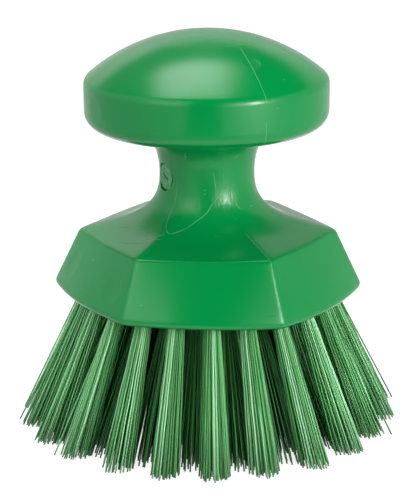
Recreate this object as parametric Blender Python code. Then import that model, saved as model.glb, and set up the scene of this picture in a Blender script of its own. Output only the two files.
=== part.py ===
"""A round hand scrubbing brush.

One plastic moulding is knob, waist and six-sided block. Tufts of filament, folded double
and stapled into blind holes, fan out from its underside and are trimmed to one plane.

Lengths are metres, angles are degrees, +Z is up. The origin is on the brush's axis, in the
plane of the trimmed tips. A corner of the block is at +X and a side faces -Y.
"""

import math
import random

import bmesh
import bpy
from mathutils import Matrix, Vector

# The gap that touching pieces keep
CLEARANCE = 0.0003

# Block: a six-sided skirt under a sloping shoulder
TUFT_LENGTH = 0.0395
SKIRT_HEIGHT = 0.0172
FOOT_CORNER_RADIUS = 0.0455
FOOT_BULGE = 0.0034
FOOT_ROUNDING = 0.0014
SHOULDER_CORNER_RADIUS = 0.0372
SHOULDER_BULGE = 0.0011
SHOULDER_ROUNDING = 0.0012
SHOULDER_SLOPE = 18.1

# Waist: a round neck between the shoulder and the knob
WAIST_RADIUS = 0.01375
WAIST_HEIGHT = 0.0173
LOWER_FLARE_WIDTH = 0.0125
LOWER_FLARE_NECK_HANDLE = 0.0078
LOWER_FLARE_SHOULDER_HANDLE = 0.009
UPPER_FLARE_WIDTH = 0.0093
UPPER_FLARE_NECK_HANDLE = 0.009
UPPER_FLARE_KNOB_HANDLE = 0.005

# Knob: a domed disc that fills the palm
KNOB_RADIUS = 0.03525
KNOB_GAP = 0.03115
KNOB_HEIGHT = 0.0274
KNOB_LOWER_ROUNDING = 0.005
KNOB_UPPER_ROUNDING = 0.0038
DOME_RADIUS = 0.0527

# Round flat that a mould insert leaves on the waist, square to the parting plane
DIAL_ANGLE = 210
DIAL_RADIUS = 0.004
DIAL_DEPTH = 0.00035
DIAL_GUTTER_WIDTH = 0.0002
DIAL_GUTTER_DEPTH = 0.0004
DIAL_SLOT_LENGTH = 0.0034
DIAL_SLOT_WIDTH = 0.00055
DIAL_SLOT_DEPTH = 0.0003
DIAL_SLOT_SLOPE = 24

# Tufts: rings of drilled holes, evenly spaced from the outer ring to the heart ring
TUFTS_IN_RING = {"outer": 22, "second": 20, "third": 10, "heart": 3}
LEAN_OF_RING = {"outer": 22.6, "second": 22.1, "third": 21.4, "heart": 15}
FIRST_TUFT_ANGLE = {"outer": 12.3, "second": 14.1, "third": 2, "heart": 20}
RIM_TO_OUTER_RING = 0.0085
HEART_RING_RADIUS = 0.0068
HOLE_RADIUS = 0.0025
HOLE_DEPTH = 0.0095
ROOT_PROUD = 0.0014

# Strands: each stands for a lock of filaments
OUTER_STRAND_COUNT = 6
INNER_STRAND_COUNT = 2
INNER_STRAND_SHARE = 0.4
INNER_STRAND_TURN = 30
STRAND_HALF_WIDTH = 0.00045
STRAND_TIP_HALF_WIDTH = 0.0007
TUFT_TIP_RADIUS = 0.0031
TIP_STRAY = 0.0002
STRAND_SIDES = 4

# Staple: flat wire bent to a U, driven over the fold of its tuft
STAPLE_SPAN = 0.004
STAPLE_LEG = 0.0048
STAPLE_WIRE_THICKNESS = 0.0005
STAPLE_WIRE_WIDTH = 0.0012
STAPLE_BITE = 0.0015

# Smoothness of the moulding
COLUMNS = 48
DOME_STEPS = 7
ROUNDING_STEPS = 3
FLARE_STEPS = 6
EDGE_STEPS = 2
HOLE_SIDES = 8
DIAL_SIDES = 20

FACET = 60
UNDERSIDE_Z = TUFT_LENGTH
SHOULDER_Z = UNDERSIDE_Z + SKIRT_HEIGHT
WAIST_Z = SHOULDER_Z + WAIST_HEIGHT
KNOB_UNDERSIDE_Z = SHOULDER_Z + KNOB_GAP
TOP_Z = KNOB_UNDERSIDE_Z + KNOB_HEIGHT
ROOT_RADIUS = HOLE_RADIUS - CLEARANCE
SIDE_MIDDLE_RADIUS = FOOT_CORNER_RADIUS * math.cos(math.radians(FACET / 2)) + FOOT_BULGE


def material(name, colour, roughness, metallic=0.0):
    made = bpy.data.materials.new(name)
    made.use_nodes = True
    shader = made.node_tree.nodes["Principled BSDF"]
    shader.inputs["Base Color"].default_value = (*colour, 1.0)
    shader.inputs["Roughness"].default_value = roughness
    shader.inputs["Metallic"].default_value = metallic
    return made


def mesh_object(name, geometry, finish=None):
    """An object holding the geometry, which is used up."""
    bmesh.ops.recalc_face_normals(geometry, faces=geometry.faces)
    mesh = bpy.data.meshes.new(name)
    geometry.to_mesh(mesh)
    geometry.free()
    made = bpy.data.objects.new(name, mesh)
    bpy.context.scene.collection.objects.link(made)
    if finish:
        mesh.materials.append(finish)
    return made


def helper(name, geometry):
    """A cutter or a piece to be joined on, which isn't itself part of the brush."""
    made = mesh_object(name, geometry)
    made.hide_render = True
    made.display_type = "WIRE"
    return made


def boolean(target, other, operation):
    modifier = target.modifiers.new(f"{operation} {other.name}", "BOOLEAN")
    modifier.operation = operation
    modifier.solver = "EXACT"
    modifier.object = other


def settle(target, helpers):
    """Applies the modifiers of the target, and removes the helpers that they used."""
    bpy.context.view_layer.update()
    graph = bpy.context.evaluated_depsgraph_get()
    finished = bpy.data.meshes.new_from_object(target.evaluated_get(graph))
    finished.name = target.name
    target.modifiers.clear()
    target.data = finished
    for spent in helpers:
        bpy.data.objects.remove(spent)


def prism(geometry, corners, top_corners):
    """Adds a closed solid between two outlines with the same number of corners."""
    low = [geometry.verts.new(corner) for corner in corners]
    high = [geometry.verts.new(corner) for corner in top_corners]
    geometry.faces.new(reversed(low))
    geometry.faces.new(high)
    for i, corner in enumerate(low):
        after = (i + 1) % len(low)
        geometry.faces.new((corner, low[after], high[after], high[i]))


def circle(radius, z, sides, turn=0.0):
    steps = (math.radians(turn + 360 * i / sides) for i in range(sides))
    return [Vector((radius * math.cos(a), radius * math.sin(a), z)) for a in steps]


def rectangle(middle_y, half_x, half_y, z):
    return [
        Vector((-half_x, middle_y - half_y, z)),
        Vector((half_x, middle_y - half_y, z)),
        Vector((half_x, middle_y + half_y, z)),
        Vector((-half_x, middle_y + half_y, z)),
    ]


# The moulding: columns of one profile, which turns from round to six-sided on its way down


def from_side_middle(angle):
    """The angle counted from the middle of the nearest side of the block."""
    return angle % FACET - FACET / 2


def outline_radius(angle, corner_radius, bulge):
    """Radius of a six-sided outline whose sides are bowed outwards."""
    turn = from_side_middle(angle)
    flat = corner_radius * math.cos(math.radians(FACET / 2)) / math.cos(math.radians(turn))
    return flat + bulge * (1 - (turn / (FACET / 2)) ** 2)


def shoulder_point(radius, angle):
    """A point on the side of the low pyramid that tops the block."""
    flat = SHOULDER_CORNER_RADIUS * math.cos(math.radians(FACET / 2))
    reach = radius * math.cos(math.radians(from_side_middle(angle)))
    return Vector((radius, SHOULDER_Z + (flat - reach) * math.tan(math.radians(SHOULDER_SLOPE))))


def bezier(start, start_handle, end_handle, end, steps):
    points = []
    for i in range(1, steps):
        t = i / steps
        s = 1 - t
        points.append(start * s**3 + start_handle * 3 * s * s * t + end_handle * 3 * s * t * t + end * t**3)
    return points


def rounded(before, corner, after, radius, steps):
    """Points of an arc that rounds a corner, at that radius."""
    towards, onwards = (before - corner).normalized(), (after - corner).normalized()
    half = towards.angle(onwards) / 2
    start = corner + towards * radius / math.tan(half)
    end = corner + onwards * radius / math.tan(half)
    centre = corner + (towards + onwards).normalized() * radius / math.sin(half)
    sweep = math.pi - 2 * half
    points = []
    for i in range(steps + 1):
        t = i / steps
        along = (start - centre) * math.sin(sweep * (1 - t)) + (end - centre) * math.sin(sweep * t)
        points.append(centre + along / math.sin(sweep))
    return points


def knob_profile():
    """(radius, z) down the knob's outside, from next to the apex to the end of its underside."""
    dome_centre_z = TOP_Z - DOME_RADIUS
    edge_radius = KNOB_RADIUS - KNOB_UPPER_ROUNDING
    slant = math.asin(edge_radius / (DOME_RADIUS - KNOB_UPPER_ROUNDING))
    points = []
    for i in range(1, DOME_STEPS + 1):
        a = slant * i / DOME_STEPS
        points.append(Vector((DOME_RADIUS * math.sin(a), dome_centre_z + DOME_RADIUS * math.cos(a))))
    edge_z = dome_centre_z + (DOME_RADIUS - KNOB_UPPER_ROUNDING) * math.cos(slant)
    for i in range(1, ROUNDING_STEPS + 1):
        a = slant + (math.pi / 2 - slant) * i / ROUNDING_STEPS
        way = Vector((math.sin(a), math.cos(a)))
        points.append(Vector((edge_radius, edge_z)) + KNOB_UPPER_ROUNDING * way)
    underside = Vector((WAIST_RADIUS + UPPER_FLARE_WIDTH, KNOB_UNDERSIDE_Z))
    rim_foot = Vector((KNOB_RADIUS, KNOB_UNDERSIDE_Z))
    points += rounded(points[-1], rim_foot, underside, KNOB_LOWER_ROUNDING, ROUNDING_STEPS)
    return points + [underside]


def waist_profile(angle):
    """(radius, z) from under the knob to where the lower flare has run out on the shoulder."""
    waist = Vector((WAIST_RADIUS, WAIST_Z))
    knob_end = Vector((WAIST_RADIUS + UPPER_FLARE_WIDTH, KNOB_UNDERSIDE_Z))
    knob_handle = knob_end - Vector((UPPER_FLARE_KNOB_HANDLE, 0))
    upper_handle = waist + Vector((0, UPPER_FLARE_NECK_HANDLE))
    lower_handle = waist - Vector((0, LOWER_FLARE_NECK_HANDLE))
    flare_radius = WAIST_RADIUS + LOWER_FLARE_WIDTH
    shoulder_end = shoulder_point(flare_radius, angle)
    shoulder_handle = shoulder_point(flare_radius - LOWER_FLARE_SHOULDER_HANDLE, angle)
    points = bezier(knob_end, knob_handle, upper_handle, waist, FLARE_STEPS) + [waist]
    return points + bezier(waist, lower_handle, shoulder_handle, shoulder_end, FLARE_STEPS) + [shoulder_end]


def block_profile(angle):
    """(radius, z) from the rounded edge of the shoulder to the rounded edge of the foot."""
    inner = shoulder_point(WAIST_RADIUS + LOWER_FLARE_WIDTH, angle)
    edge = shoulder_point(outline_radius(angle, SHOULDER_CORNER_RADIUS, SHOULDER_BULGE), angle)
    foot = Vector((outline_radius(angle, FOOT_CORNER_RADIUS, FOOT_BULGE), UNDERSIDE_Z))
    points = rounded(inner, edge, foot, SHOULDER_ROUNDING, EDGE_STEPS)
    return points + rounded(edge, foot, Vector((0, UNDERSIDE_Z)), FOOT_ROUNDING, EDGE_STEPS)


def moulding():
    geometry = bmesh.new()
    knob = knob_profile()
    columns = []
    for i in range(COLUMNS):
        angle = 360 * i / COLUMNS
        way = Vector((math.cos(math.radians(angle)), math.sin(math.radians(angle)), 0))
        profile = knob + waist_profile(angle) + block_profile(angle)
        columns.append([geometry.verts.new(way * p.x + Vector((0, 0, p.y))) for p in profile])
    apex = geometry.verts.new((0, 0, TOP_Z))
    for i, column in enumerate(columns):
        after = columns[(i + 1) % COLUMNS]
        geometry.faces.new((apex, column[0], after[0]))
        for j in range(len(column) - 1):
            geometry.faces.new((column[j], column[j + 1], after[j + 1], after[j]))
    geometry.faces.new([column[-1] for column in reversed(columns)])
    return geometry


# The dial, in a frame with +Z out of the waist, +X down and +Y to the right of who faces it


def disc(radius, low, high):
    geometry = bmesh.new()
    prism(geometry, circle(radius, low, DIAL_SIDES), circle(radius, high, DIAL_SIDES))
    return geometry


def dial_recess():
    """Cutter down to the floor of the gutter round the dial."""
    return disc(DIAL_RADIUS, WAIST_RADIUS - DIAL_DEPTH - DIAL_GUTTER_DEPTH, 2 * WAIST_RADIUS)


def dial_disc():
    """The dial itself, which is flat and so stands proud of the round waist at its two sides."""
    return disc(DIAL_RADIUS - DIAL_GUTTER_WIDTH, WAIST_RADIUS / 2, WAIST_RADIUS - DIAL_DEPTH)


def dial_slot():
    """Cutter for the slot across the dial."""
    geometry = bmesh.new()
    turn = Matrix.Rotation(math.radians(-DIAL_SLOT_SLOPE), 3, "Z")
    floor = WAIST_RADIUS - DIAL_DEPTH - DIAL_SLOT_DEPTH
    low = [turn @ p for p in rectangle(0, DIAL_SLOT_WIDTH / 2, DIAL_SLOT_LENGTH / 2, floor)]
    high = [turn @ p for p in rectangle(0, DIAL_SLOT_WIDTH / 2, DIAL_SLOT_LENGTH / 2, WAIST_RADIUS)]
    prism(geometry, low, high)
    return geometry


# Tufts: a local frame each, with +Z along the hole into the block, +X leaning out, +Y around


def tuft_places():
    """(node name, ring, index, frame at the middle of the hole's mouth) of every tuft."""
    places = []
    outer_radius = SIDE_MIDDLE_RADIUS - RIM_TO_OUTER_RING
    spacing = (outer_radius - HEART_RING_RADIUS) / (len(TUFTS_IN_RING) - 1)
    for row, (ring, count) in enumerate(TUFTS_IN_RING.items()):
        radius = outer_radius - row * spacing
        for i in range(count):
            turn = math.radians(FIRST_TUFT_ANGLE[ring] + 360 * i / count)
            lean = math.radians(LEAN_OF_RING[ring])
            frame = Matrix.Rotation(turn, 4, "Z") @ Matrix.Translation((radius, 0, UNDERSIDE_Z))
            places.append((f"{ring}_{i + 1:02d}", ring, i, frame @ Matrix.Rotation(-lean, 4, "Y")))
    return places


def hole_outline(radius, z):
    return circle(radius, z, HOLE_SIDES, 180 / HOLE_SIDES)


def hole_cutters(places):
    geometry = bmesh.new()
    for _, _, _, frame in places:
        low = [frame @ p for p in hole_outline(HOLE_RADIUS, -HOLE_DEPTH)]
        high = [frame @ p for p in hole_outline(HOLE_RADIUS, HOLE_DEPTH)]
        prism(geometry, low, high)
    return geometry


def leg_middle():
    """How far a staple leg's middle is from the middle of its hole."""
    return (STAPLE_SPAN - STAPLE_WIRE_THICKNESS) / 2


def bite_cutters(places):
    """The two pits in each hole's floor that its staple's legs are driven into."""
    geometry = bmesh.new()
    half_x = STAPLE_WIRE_WIDTH / 2 + CLEARANCE
    half_y = STAPLE_WIRE_THICKNESS / 2 + CLEARANCE
    for _, _, _, frame in places:
        for side in (-1, 1):
            low = rectangle(side * leg_middle(), half_x, half_y, HOLE_DEPTH - CLEARANCE)
            high = rectangle(side * leg_middle(), half_x, half_y, HOLE_DEPTH + STAPLE_BITE + CLEARANCE)
            prism(geometry, [frame @ p for p in low], [frame @ p for p in high])
    return geometry


def staple(spare=0.0, leg_spare=0.0):
    """A U of flat wire in a tuft's frame. Spare widens it, for the slot that it passes through."""
    geometry = bmesh.new()
    inner = STAPLE_SPAN / 2 - STAPLE_WIRE_THICKNESS - spare
    outer = STAPLE_SPAN / 2 + spare + leg_spare
    feet = HOLE_DEPTH + STAPLE_BITE + spare
    bridge = HOLE_DEPTH + STAPLE_BITE - STAPLE_LEG - spare
    crown = bridge + STAPLE_WIRE_THICKNESS + 2 * spare
    outline = [(-outer, feet), (-outer, bridge), (outer, bridge), (outer, feet)]
    outline += [(inner, feet), (inner, crown), (-inner, crown), (-inner, feet)]
    half = STAPLE_WIRE_WIDTH / 2 + spare
    low = [Vector((-half, y, z)) for y, z in outline]
    high = [Vector((half, y, z)) for y, z in outline]
    prism(geometry, low, high)
    return geometry


def tuft_root():
    """The packed, folded filaments inside the hole, with the fold's rounded end on its floor."""
    geometry = bmesh.new()
    low, high = hole_outline(ROOT_RADIUS, -ROOT_PROUD), hole_outline(ROOT_RADIUS, HOLE_DEPTH - CLEARANCE)
    prism(geometry, low, high)
    return geometry


def strand_places():
    """(x, y) of the strands in the root's end, as shares of the bundle's radius."""
    places = []
    inner = (INNER_STRAND_COUNT, INNER_STRAND_SHARE, INNER_STRAND_TURN)
    for count, share, turn in (inner, (OUTER_STRAND_COUNT, 1, 0)):
        for i in range(count):
            a = math.radians(turn + 360 * i / count)
            places.append(Vector((math.cos(a), math.sin(a))) * share)
    return places


def strands(lean, stray):
    """Straight strands that fan out of the root and end in the plane of the tips."""
    geometry = bmesh.new()
    sunk = -ROOT_PROUD / 2
    root_reach = ROOT_RADIUS * math.cos(math.pi / HOLE_SIDES) - STRAND_HALF_WIDTH
    for place in strand_places():
        start = place * (root_reach - CLEARANCE / 3)
        shift = Vector((stray.uniform(-TIP_STRAY, TIP_STRAY), stray.uniform(-TIP_STRAY, TIP_STRAY)))
        end = place * TUFT_TIP_RADIUS + shift
        low, high = [], []
        for corner in circle(1, 0, STRAND_SIDES, 180 / STRAND_SIDES):
            near = start + corner.xy * STRAND_HALF_WIDTH
            far = end + corner.xy * STRAND_TIP_HALF_WIDTH
            tip_z = -(UNDERSIDE_Z + far.x * math.sin(lean)) / math.cos(lean)
            low.append(Vector((*far, tip_z)))
            high.append(Vector((*near, sunk)))
        prism(geometry, low, high)
    return geometry


def make_tuft(name, ring, index, frame, finish):
    """A tuft with its staple, which is a piece of its own only in the heart ring."""
    stray = random.Random(f"{ring} {index}")
    tuft = mesh_object(f"tuft_{name}", tuft_root(), finish)
    bundle = helper("strands", strands(math.radians(LEAN_OF_RING[ring]), stray))
    boolean(tuft, bundle, "UNION")
    if ring == "heart":
        wire = helper("slot", staple(CLEARANCE, ROOT_RADIUS))
        boolean(tuft, wire, "DIFFERENCE")
    else:
        wire = helper("staple", staple())
        boolean(tuft, wire, "UNION")
    settle(tuft, [bundle, wire])
    tuft.matrix_world = frame
    return tuft


for old in list(bpy.data.objects):
    bpy.data.objects.remove(old)

plastic = material("green_moulding", (0.0, 0.27, 0.053), 0.35)
filament = material("green_filament", (0.12, 0.42, 0.15), 0.5)
steel = material("staple_steel", (0.6, 0.6, 0.58), 0.3, 1.0)

places = tuft_places()

block = mesh_object("brush_block", moulding(), plastic)
boolean(block, helper("hole_cutters", hole_cutters(places)), "DIFFERENCE")
boolean(block, helper("bite_cutters", bite_cutters(places)), "DIFFERENCE")
facing_out = Matrix.Rotation(math.radians(DIAL_ANGLE), 4, "Z") @ Matrix.Rotation(math.radians(90), 4, "Y")
for name, geometry, operation in (
    ("dial_recess", dial_recess(), "DIFFERENCE"),
    ("dial_disc", dial_disc(), "UNION"),
    ("dial_slot", dial_slot(), "DIFFERENCE"),
):
    step = helper(name, geometry)
    step.matrix_world = Matrix.Translation((0, 0, WAIST_Z)) @ facing_out
    boolean(block, step, operation)
block.data.shade_smooth()
block.data.set_sharp_from_angle(angle=math.radians(30))

for name, ring, index, frame in places:
    make_tuft(name, ring, index, frame, filament)
    if ring == "heart":
        wire = mesh_object(f"staple_{name}", staple(), steel)
        wire.matrix_world = frame

heart = bpy.data.objects["tuft_heart_01"]
tip = min((heart.matrix_world @ face.center for face in heart.data.polygons), key=lambda centre: centre.z)
print(f"{len(places)} tufts of {INNER_STRAND_COUNT + OUTER_STRAND_COUNT} strands, top at {TOP_Z:.5f}")
print(f"One strand's cut end in the heart is at {tip.x:.5f} {tip.y:.5f} {tip.z:.7f}")
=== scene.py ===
# %% [markdown]
# # A round hand scrubbing brush
#
# This lesson dresses a finished model of a scrubbing brush. The model holds the solids at
# their real size: one green moulding, tufts whose few thick strands only stand for filaments,
# and three staples. Here the moulding gets a smooth surface with the marks that its mould left,
# and every tuft gets its filaments and its staple.
#
# All lengths are metres and all angles are degrees. The origin is on the brush's axis, in the
# plane of the trimmed tips. A corner of the block is at +X and one of its sides faces -Y.

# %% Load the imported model
import math

import bmesh
import bpy
import numpy as np
from mathutils import Matrix, Vector


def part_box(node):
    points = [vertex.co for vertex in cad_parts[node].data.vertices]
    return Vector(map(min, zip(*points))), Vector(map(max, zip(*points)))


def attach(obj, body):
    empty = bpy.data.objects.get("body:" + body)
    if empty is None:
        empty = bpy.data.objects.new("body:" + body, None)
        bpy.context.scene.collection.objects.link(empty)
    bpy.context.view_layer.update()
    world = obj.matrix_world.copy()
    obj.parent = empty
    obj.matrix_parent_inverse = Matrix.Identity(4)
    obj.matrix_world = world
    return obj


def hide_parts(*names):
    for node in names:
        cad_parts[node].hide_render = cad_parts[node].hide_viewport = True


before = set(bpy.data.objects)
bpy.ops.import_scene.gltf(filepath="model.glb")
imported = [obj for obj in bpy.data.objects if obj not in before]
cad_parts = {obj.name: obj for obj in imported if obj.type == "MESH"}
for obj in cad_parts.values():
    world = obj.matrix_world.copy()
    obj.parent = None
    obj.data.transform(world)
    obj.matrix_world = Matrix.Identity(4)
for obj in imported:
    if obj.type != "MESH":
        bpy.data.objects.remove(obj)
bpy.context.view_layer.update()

# %% [markdown]
# ## Sizes
#
# The solids say where the underside and the top of the moulding are. The other sizes repeat
# the ones that the solids were made with, so that each dressed piece lies where its solid is.
# A few differ a little. The highlights in the photograph show how round the edges are, and a
# corner that gets softened starts further out. The drops, the tilts and the twist are small
# faults of a real moulding, which the solids leave out.

# %% Sizes of the moulding
block_low, block_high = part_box("brush_block")
UNDERSIDE_Z = block_low.z
TOP_Z = block_high.z

SKIRT_HEIGHT = 0.0172
FOOT_CORNER_RADIUS = 0.0461
FOOT_BULGE = 0.0029
FOOT_ROUNDING = 0.0017
FOOT_DROP = 0.00045
FOOT_TILT = 0.0004
FOOT_TILT_SIDE = 330
FOOT_TWIST = 0.0002
FOOT_TWIST_SIDE = 320
RIM_WITHIN = 0.0392
SHOULDER_CORNER_RADIUS = 0.0377
SHOULDER_BULGE = 0.0007
SHOULDER_ROUNDING = 0.0022
SHOULDER_SLOPE = 18.1
SKIRT_RIDGE_SOFTENING = 0.0004
SHOULDER_RIDGE_SOFTENING = 0.0005

WAIST_RADIUS = 0.01375
WAIST_HEIGHT = 0.0173
LOWER_FLARE_WIDTH = 0.0125
LOWER_FLARE_NECK_HANDLE = 0.0078
LOWER_FLARE_SHOULDER_HANDLE = 0.009
UPPER_FLARE_WIDTH = 0.0093
UPPER_FLARE_NECK_HANDLE = 0.009
UPPER_FLARE_KNOB_HANDLE = 0.005

KNOB_RADIUS = 0.0352
KNOB_GAP = 0.03115
KNOB_LOWER_ROUNDING = 0.005
KNOB_UPPER_ROUNDING = 0.0032
KNOB_DROP = 0.00012
KNOB_TILT = 0.2
DOME_RADIUS = 0.0527

FACET = 60
SHOULDER_Z = UNDERSIDE_Z + SKIRT_HEIGHT
WAIST_Z = SHOULDER_Z + WAIST_HEIGHT
KNOB_UNDERSIDE_Z = SHOULDER_Z + KNOB_GAP
print(f"Underside at {UNDERSIDE_Z:.4f}, shoulder at {SHOULDER_Z:.4f}, top at {TOP_Z:.4f}")

# %% [markdown]
# ## Shader maths as Python
#
# A material's colour and roughness are worked out by nodes. A long chain of nodes is hard to
# read, so one small class wraps a socket and lets Python's own operators add the Math nodes.
# Every other node comes from one method: its type, its settings, then its sockets.


# %% A socket that does sums
class Value:
    """A number, colour or vector that changes over a surface."""

    def __init__(self, nodes, socket):
        self.nodes = nodes
        self.socket = socket

    def maths(self, operation, *others):
        """A Math node on this value and, where the operation takes more, on the others."""
        terms = dict(enumerate((self, *others)))
        return self.nodes.node("ShaderNodeMath", {"operation": operation}, terms)

    def __add__(self, other):
        return self.maths("ADD", other)

    def __sub__(self, other):
        return self.maths("SUBTRACT", other)

    def __rsub__(self, other):
        return self.maths("MULTIPLY_ADD", -1, other)

    def __mul__(self, other):
        return self.maths("MULTIPLY", other)

    def __truediv__(self, other):
        return self.maths("DIVIDE", other)

    def __neg__(self):
        return self * -1

    __radd__ = __add__
    __rmul__ = __mul__


# %% A node tree with short ways to make nodes
class Nodes:
    """The nodes of a material or a world, its main shader, and one way to add any node."""

    def __init__(self, owner, shader):
        owner.use_nodes = True
        self.owner = owner
        self.tree = owner.node_tree
        self.shader = self.tree.nodes[shader]

    def feed(self, socket, value):
        if isinstance(value, Value):
            self.tree.links.new(value.socket, socket)
        else:
            socket.default_value = value

    def set(self, **sockets):
        """Sets the shader's own sockets: base_color is Base Color."""
        for name, value in sockets.items():
            title = name.replace("_", " ").title().replace("Ior", "IOR")
            self.feed(self.shader.inputs[title], value)

    def node(self, kind, settings=None, sockets=None, output=0):
        """Adds a node: its settings first, then the values or links of its sockets."""
        made = self.tree.nodes.new(kind)
        for name, value in (settings or {}).items():
            if name == "stops":
                for stop, (position, shade) in zip(made.color_ramp.elements, value):
                    stop.position = position
                    stop.color = (shade, shade, shade, 1)
            else:
                setattr(made, name, value)
        for key, value in (sockets or {}).items():
            self.feed(made.inputs[key], value)
        return Value(self, made.outputs[output])

    def place(self):
        return self.node("ShaderNodeTexCoord", output="Object")

    def axes(self, place=None):
        """The x, y and z of a place, or of the place on the surface."""
        split = self.node("ShaderNodeSeparateXYZ", None, {0: place or self.place()})
        return [Value(self, output) for output in split.socket.node.outputs]

    def noise(self, scale, detail=2.0, roughness=0.5, vector=None):
        sockets = {"Scale": scale, "Detail": detail, "Roughness": roughness}
        sockets["Vector"] = vector or self.place()
        return self.node("ShaderNodeTexNoise", None, sockets)

    def ramp(self, value, start, end):
        """Nought below start and one above end, with a straight slope between."""
        sockets = {"Value": value, "From Min": start, "From Max": end}
        return self.node("ShaderNodeMapRange", None, sockets)

    def mix(self, factor, colour, other):
        """Goes from one colour to the other as the factor goes from nought to one."""
        sockets = {0: factor, 6: colour, 7: other}
        return self.node("ShaderNodeMix", {"data_type": "RGBA"}, sockets, 2)

    def vector_maths(self, operation, vector, output="Vector"):
        """A Vector Math node on the place on the surface and one fixed vector."""
        sockets = {0: self.place(), 1: vector}
        return self.node("ShaderNodeVectorMath", {"operation": operation}, sockets, output)

    def stretched(self, *factors):
        """The place on the surface, with each of its axes multiplied."""
        return self.vector_maths("MULTIPLY", factors)

    def distance_to(self, spot):
        """How far the surface is from a spot."""
        return self.vector_maths("DISTANCE", spot, "Value")

    def bump(self, height, distance):
        return self.node("ShaderNodeBump", None, {"Height": height, "Distance": distance})


def finish(name):
    """A new material to be put on a piece."""
    return Nodes(bpy.data.materials.new(name), "Principled BSDF")


def shade_of_grey(brightness):
    return (brightness, brightness, brightness, 1)


# %% [markdown]
# ## The camera
#
# The camera looks a little down on the brush from in front, from far enough away that the
# block hardly narrows towards the back. Its place, turn and lens were worked out from the
# outlines of the knob and the block in the photograph.

# %% Camera
CAMERA_PLACE = (0.02127, -0.57998, 0.2201)
CAMERA_TURN = (73.6823, 0.3105, 2.0074)
CAMERA_LENS = 148.817


def add_object(name, data):
    """A new object in the scene that holds the data."""
    made = bpy.data.objects.new(name, data)
    bpy.context.scene.collection.objects.link(made)
    return made


eye = bpy.data.cameras.new("camera")
eye.lens = CAMERA_LENS
camera = add_object("camera", eye)
camera.location = CAMERA_PLACE
camera.rotation_euler = [math.radians(turn) for turn in CAMERA_TURN]
bpy.context.scene.camera = camera
print(f"Camera {camera.location.length * 1000:.0f} mm from the middle of the tips")

# %% [markdown]
# ## The moulding's outline
#
# The real piece is moulded in one: a domed knob, a waist, and a six-sided block with a low
# sloping shoulder. It could be a turned body joined to a six-sided one, but their seam would
# never be smooth. Instead one profile is drawn at every angle, and its lower half depends on
# the angle, so the round neck flows into the flat sides. Where two sides meet, a soft maximum
# of the two rounds the ridge a little, as a mould maker's tool does.


# %% One side and the next
def turns_at(angle):
    """The angle counted from the middle of the nearest side, and from that of the next one."""
    own = math.radians(angle % FACET - FACET / 2)
    return own, own - math.copysign(math.radians(FACET), own)


def soft_greater(a, b, softening):
    """The greater of two lengths, with the change from one to the other rounded."""
    return (a + b) / 2 + math.hypot((a - b) / 2, softening)


def side_radius(turn, corner_radius, bulge):
    """Radius of one bowed side, at a turn from its middle, also past its corners."""
    half = math.radians(FACET / 2)
    return corner_radius * math.cos(half) / math.cos(turn) + bulge * (1 - (turn / half) ** 2)


def outline_radius(angle, corner_radius, bulge):
    """Radius of the six-sided outline."""
    own, other = (side_radius(turn, corner_radius, bulge) for turn in turns_at(angle))
    return -soft_greater(-own, -other, SKIRT_RIDGE_SOFTENING)


def shoulder_point(radius, angle):
    """A point on the side of the low pyramid that tops the block."""
    flat = SHOULDER_CORNER_RADIUS * math.cos(math.radians(FACET / 2))
    own, other = (radius * math.cos(turn) for turn in turns_at(angle))
    reach = soft_greater(own, other, SHOULDER_RIDGE_SOFTENING)
    return Vector((radius, SHOULDER_Z + (flat - reach) * math.tan(math.radians(SHOULDER_SLOPE))))


foot_corner = outline_radius(0, FOOT_CORNER_RADIUS, FOOT_BULGE)
print(f"The foot's corners lie {1000 * foot_corner:.1f} mm from the axis")


# %% Curves of the profile
DOME_STEPS = 40
ROUNDING_STEPS = 10
FLARE_STEPS = 26
EDGE_STEPS = 5
SKIRT_STEPS = 6


def bezier(start, start_handle, end_handle, end, steps):
    points = []
    for i in range(1, steps):
        t = i / steps
        s = 1 - t
        handles = start_handle * 3 * s * s * t + end_handle * 3 * s * t * t
        points.append(start * s**3 + handles + end * t**3)
    return points


def rounded(before, corner, after, radius, steps):
    """Points of an arc that rounds a corner, at that radius."""
    towards, onwards = (before - corner).normalized(), (after - corner).normalized()
    half = towards.angle(onwards) / 2
    start = corner + towards * radius / math.tan(half)
    end = corner + onwards * radius / math.tan(half)
    centre = corner + (towards + onwards).normalized() * radius / math.sin(half)
    sweep = math.pi - 2 * half
    points = []
    for i in range(steps + 1):
        t = i / steps
        along = (start - centre) * math.sin(sweep * (1 - t)) + (end - centre) * math.sin(sweep * t)
        points.append(centre + along / math.sin(sweep))
    return points


def knob_profile():
    """(radius, z) down the knob's outside, from next to the apex to the end of its underside."""
    dome_centre_z = TOP_Z - DOME_RADIUS
    edge_radius = KNOB_RADIUS - KNOB_UPPER_ROUNDING
    slant = math.asin(edge_radius / (DOME_RADIUS - KNOB_UPPER_ROUNDING))
    points = []
    for i in range(1, DOME_STEPS + 1):
        a = slant * i / DOME_STEPS
        points.append(Vector((DOME_RADIUS * math.sin(a), dome_centre_z + DOME_RADIUS * math.cos(a))))
    edge_z = dome_centre_z + (DOME_RADIUS - KNOB_UPPER_ROUNDING) * math.cos(slant)
    for i in range(1, ROUNDING_STEPS + 1):
        a = slant + (math.pi / 2 - slant) * i / ROUNDING_STEPS
        way = Vector((math.sin(a), math.cos(a)))
        points.append(Vector((edge_radius, edge_z)) + KNOB_UPPER_ROUNDING * way)
    underside = Vector((WAIST_RADIUS + UPPER_FLARE_WIDTH, KNOB_UNDERSIDE_Z))
    rim_foot = Vector((KNOB_RADIUS, KNOB_UNDERSIDE_Z))
    points += rounded(points[-1], rim_foot, underside, KNOB_LOWER_ROUNDING, ROUNDING_STEPS)
    return points + [points[-1].lerp(underside, 0.5), underside]


print(f"{len(knob_profile())} points down the knob")


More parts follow.
